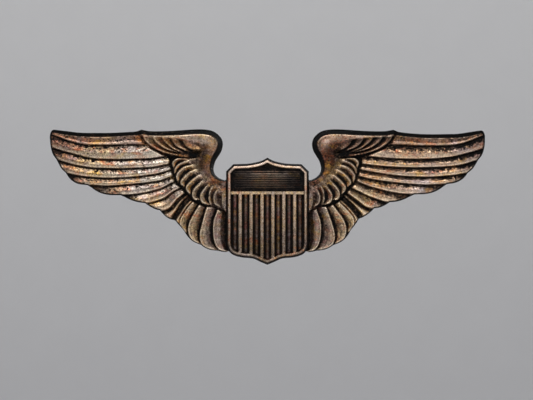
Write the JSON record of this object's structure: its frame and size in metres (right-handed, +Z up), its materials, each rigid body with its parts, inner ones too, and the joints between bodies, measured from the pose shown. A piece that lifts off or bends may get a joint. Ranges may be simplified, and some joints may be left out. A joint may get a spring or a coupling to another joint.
{
  "type": "pilot wings pin",
  "caption": "Die-struck pilot wings badge with a striped shield, worn on the chest; a hinged pin and a locking rotary catch are soldered to its flat back.",
  "frame": {"origin": "centre of the flat back of the badge, midway across the span and midway up the height, where it lies on the cloth", "axes": "+X along the span to the viewer's right, +Z up as worn, +Y out of the back towards the cloth; the face looks towards -Y"},
  "size_m": [0.0794, 0.0079, 0.0247],
  "materials": {
    "toned_silver": "satin",
    "shield_silver": "satin",
    "pad_metal": "satin",
    "fitting_metal": "satin",
    "pin_wire": "polished"
  },
  "bodies": {
    "badge": {"wings": "toned_silver", "shield": "shield_silver", "hinge_pad": "pad_metal", "hinge_bracket": "fitting_metal", "hinge_rivet": "fitting_metal", "catch_pad": "pad_metal", "catch_body": "fitting_metal"},
    "stem": {"pin_stem": "pin_wire"},
    "lock": {"catch_rotor": "fitting_metal"}
  },
  "joints": [
    {"name": "stem_hinge", "type": "hinge", "parent": "badge", "child": "stem", "pos_m": [-0.0183, 0.00235, 0.002], "axis": [0, 0, 1], "range_deg": [0, 100]},
    {"name": "catch_turn", "type": "hinge", "parent": "badge", "child": "lock", "pos_m": [0.0183, 0.00235, 0.002], "axis": [1, 0, 0], "range_deg": [0, 120]}
  ]
}
